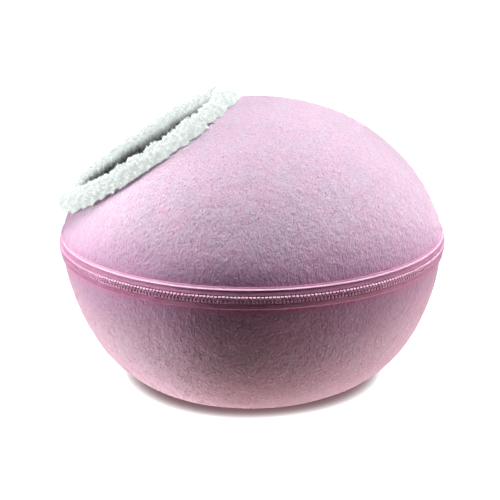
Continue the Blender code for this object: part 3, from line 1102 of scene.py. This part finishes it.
def felt_material(name, run, swell, edge, fade):
    """Matted wool: pale curly fibres over darker gaps, slow changes of hue, a few rosy spots.

    run stretches the fibres: the smallest of its three numbers is the way that they run. swell is
    how strongly it wrinkles. Painted shade makes the wool darker and deeper pink towards the zip,
    most at the height of the sewn edge and none at the fade, and a painted reflection of the tape's
    pink tints a narrow band next to the sewn edge.
    """
    made, tree, shader = material(name, FELT_PINK, 0.92, {
        "Specular IOR Level": 0.15, "Sheen Weight": 0.8, "Sheen Roughness": 0.45,
        "Sheen Tint": (1.0, 0.84, 0.94, 1.0)})
    where = places(tree)
    curled = warped(tree, where, 0.010, 0.006)
    streaks = noise_node(tree, stretched(tree, curled, (0.20, 0.10, 0.0), run), 0.0017, 3.0, 0.65)
    crossing = noise_node(tree, stretched(tree, curled, (-0.55, 0.45, 0.3), (1.0, 1.0, 0.18)),
                          0.0016, 3.0, 0.60)
    matted = noise_node(tree, curled, 0.0030, 3.0, 0.65)
    relief = noise_node(tree, warped(tree, where, 0.020, 0.012), 0.0085, 2.0, 0.55)
    up = parted(tree, where)["Z"]
    reflection_fade = edge + (fade - edge) * PAINTED_REFLECTION_SPAN
    blotch = ramped(tree, noise_node(tree, where, 0.022, 3.0, 0.6), 0.38, 0.64)
    ground = mixed(tree, blotch, FELT_PINK, FELT_LILAC)
    for value, low, high, most, colour in (
            (noise_node(tree, where, 0.011, 3.0, 0.6), 0.46, 0.68, 0.50, FELT_ROSE),
            (noise_node(tree, curled, 0.016, 2.0, 0.55), 0.64, 0.76, 0.45, FELT_SPOT),
            (crossing, 0.50, 0.30, 0.55, FELT_SHADE),
            (streaks, 0.52, 0.68, 0.48, FELT_FIBRE),
            # Painted shade: darker and deeper pink from the fade down to the sewn edge.
            (up, fade, edge, 0.44, FELT_PAINTED_SHADE),
            # Painted reflection of the tape's pink, in a narrow band next to the sewn edge.
            (up, reflection_fade, edge, 0.50, FELT_PAINTED_REFLECTION)):
        ground = mixed(tree, ramped(tree, value, low, high, 0.0, most), ground, colour)
    tree.links.new(ground, shader.inputs["Base Color"])
    height = math_node(tree, "MULTIPLY_ADD", streaks, 1.0,
                       math_node(tree, "MULTIPLY_ADD", crossing, 0.8,
                                 math_node(tree, "MULTIPLY_ADD", relief, swell, matted)))
    tree.links.new(bumped(tree, height, 0.00060), shader.inputs["Normal"])
    return made


WOOL_TONES = (0.66, 0.46, 0.58), (0.78, 0.66, 0.74)


def wool_material():
    """The loose fibres: paler than the felt they lie on."""
    made, tree, shader = material("pink_wool", (0.72, 0.56, 0.67), 0.80,
                                  {"Specular IOR Level": 0.25})
    tone = ramped(tree, noise_node(tree, places(tree), 0.006, 1.0), 0.35, 0.65)
    tree.links.new(mixed(tree, tone, *WOOL_TONES), shader.inputs["Base Color"])
    return made


PLUSH_GLOW = 0.51  # painted glow: emission that stands in for the light that white pile passes from strand to strand
PLUSH_GLOW_INSIDE = 0.03  # the painted glow on the side that faces into the cave, kept low there as painted shade
RIM_RADIUS = 0.108
PLUSH_TONES = (0.21, 0.225, 0.219), (0.155, 0.17, 0.163)
# painted shade at the roots of the pile
PLUSH_ROOT_SHADE = (0.12, 0.13, 0.127)


def plush_material():
    """White pile with painted shade at its roots and a painted glow, emission that grows with how far
    a point lies outside the mouth and stays low inside as painted shade.
    """
    made, tree, shader = material("white_plush", (0.30, 0.32, 0.31), 0.95, {
        "Specular IOR Level": 0.10, "Sheen Weight": 0.10, "Sheen Roughness": 0.45,
        "Emission Color": (0.955, 1.0, 0.985, 1.0)})
    where = places(tree)
    tone = ramped(tree, noise_node(tree, where, 0.012, 3.0, 0.6), 0.35, 0.68)
    # Painted shade: the pile darker, and glowing less, towards its roots.
    tip = tree.nodes.new("ShaderNodeAttribute")
    tip.attribute_name = "tip"
    open_share = ramped(tree, tip.outputs["Fac"], 0.0, 0.8, 0.76, 1.0)
    ground = mixed(tree, open_share, PLUSH_ROOT_SHADE, mixed(tree, tone, *PLUSH_TONES))
    tree.links.new(ground, shader.inputs["Base Color"])
    # Painted glow: emission by how far a point lies outside the mouth, low inside the cave as painted
    # shade.
    off_centre = vector_node(tree, "SUBTRACT", where, mouth_centre())
    height = vector_node(tree, "DOT_PRODUCT", off_centre, MOUTH_AXIS, output="Value")
    beside = vector_node(tree, "CROSS_PRODUCT", off_centre, MOUTH_AXIS)
    from_axis = vector_node(tree, "LENGTH", beside, output="Value")
    outward = math_node(tree, "SUBTRACT", from_axis, RIM_RADIUS)
    outside = math_node(tree, "MULTIPLY_ADD", height, 0.9, outward)
    glow = math_node(tree, "MULTIPLY", open_share,
                     ramped(tree, outside, -0.017, -0.002, PLUSH_GLOW_INSIDE, PLUSH_GLOW))
    tree.links.new(glow, shader.inputs["Emission Strength"])
    curled = warped(tree, where, 0.004, 0.004)
    strands = noise_node(tree, stretched(tree, curled, (0.6, 0.3, 0.0), (1.0, 1.0, 0.25)),
                         0.0006, 3.0, 0.6)
    tree.links.new(bumped(tree, strands, 0.0004), shader.inputs["Normal"])
    return made


TAPE_YARNS = 2100  # round the tape, so about 0.65 mm each
TAPE_ROWS = 0.00070
TAPE_TONES = (0.64, 0.28, 0.45), (0.78, 0.44, 0.60)
TAPE_WORN = (0.72, 0.52, 0.63)
# painted highlight on the tape's ridge, full from RIDGE_FULL upwards
RIDGE_PAINTED_HIGHLIGHT = (0.72, 0.50, 0.62)
RIDGE_FOOT = ZIP_HEIGHT + 0.0080
RIDGE_FULL = ZIP_HEIGHT + 0.0092


def tape_material():
    """Woven tape with yarns that slant both ways, worn in places, and a painted highlight that makes
    its ridge paler.
    """
    made, tree, shader = material("pink_tape", (0.72, 0.43, 0.58), 0.40,
                                  {"Specular IOR Level": 0.45, "Sheen Weight": 0.05})
    where = places(tree)
    parts = parted(tree, where)
    turn, height = math_node(tree, "ARCTAN2", parts["Y"], parts["X"]), parts["Z"]
    rise = math_node(tree, "MULTIPLY", height, math.tau / TAPE_ROWS)
    slant = math_node(tree, "MULTIPLY_ADD", turn, float(TAPE_YARNS), rise)
    other = math_node(tree, "MULTIPLY_ADD", turn, float(-TAPE_YARNS), rise)
    weave = math_node(tree, "MULTIPLY_ADD", math_node(tree, "SINE", slant), 0.65,
                      math_node(tree, "MULTIPLY", math_node(tree, "SINE", other), 0.35))
    shade = ramped(tree, weave, -1.0, 1.0)
    worn = ramped(tree, noise_node(tree, where, 0.010, 2.0), 0.35, 0.7, 0.0, 0.35)
    ground = mixed(tree, worn, mixed(tree, shade, *TAPE_TONES), TAPE_WORN)
    # Painted highlight: the tape paler from the ridge up.
    ridge = ramped(tree, height, RIDGE_FOOT, RIDGE_FULL, 0.0, 0.7)
    ground = mixed(tree, ridge, ground, RIDGE_PAINTED_HIGHLIGHT)
    tree.links.new(ground, shader.inputs["Base Color"])
    tree.links.new(bumped(tree, weave, 0.00012), shader.inputs["Normal"])
    return made


PLASTIC_TONES = (0.72, 0.46, 0.60), (0.78, 0.53, 0.67)


def plastic_material():
    made, tree, shader = material("pink_plastic", (0.71, 0.50, 0.61), 0.30,
                                  {"Specular IOR Level": 0.6})
    where = places(tree)
    tone = ramped(tree, noise_node(tree, where, 0.007, 2.0), 0.35, 0.65)
    tree.links.new(mixed(tree, tone, *PLASTIC_TONES), shader.inputs["Base Color"])
    grain = noise_node(tree, where, 0.0005, 2.0)
    tree.links.new(ramped(tree, grain, 0.3, 0.7, 0.22, 0.36), shader.inputs["Roughness"])
    tree.links.new(bumped(tree, grain, 0.00003), shader.inputs["Normal"])
    return made


def dress(things, finish):
    for thing in things:
        thing.data.materials.clear()
        thing.data.materials.append(finish)


def build():
    view = bpy.context.scene.view_settings
    view.view_transform, view.look = "Standard", "Very High Contrast"
    camera()
    lights()
    floor()
    dome_felt = felt_material("pink_felt_dome", **DOME_GRAIN_AND_SHADE)
    bowl_felt = felt_material("pink_felt_bowl", **BOWL_GRAIN_AND_SHADE)
    wool, white = wool_material(), plush_material()
    tape, plastic = tape_material(), plastic_material()
    dome_line = dome_outline()
    dome = felt_shell("felt_dome", dome_line, "upper_dome", DOME_FREE_FROM,
                      len(dome_line) - SEWN_ROWS - 1, dome_fade, True)
    bowl_line = bowl_outline()
    foot = max(i for i, (_, up) in enumerate(bowl_line) if up > BASE_CLEAR)
    bowl = felt_shell("felt_bowl", bowl_line, "lower_bowl", SEWN_ROWS, foot, bowl_fade, False)
    dome_wool = fibres("dome_fibres", dome, seed=21)
    bowl_wool = fibres("bowl_fibres", bowl, seed=22)
    roll, piles = plush()
    upper, lower, rows = zip_pieces()
    slider = standing_on_zip("slider_body", "zip_slider", slider_parts())
    pull = standing_on_zip("slider_pull", "zip_pull", pull_parts())
    dress((dome,), dome_felt)
    dress((bowl,), bowl_felt)
    dress((dome_wool, bowl_wool), wool)
    dress([roll] + piles, white)
    dress((upper, lower), tape)
    dress((rows, slider, pull), plastic)


build()
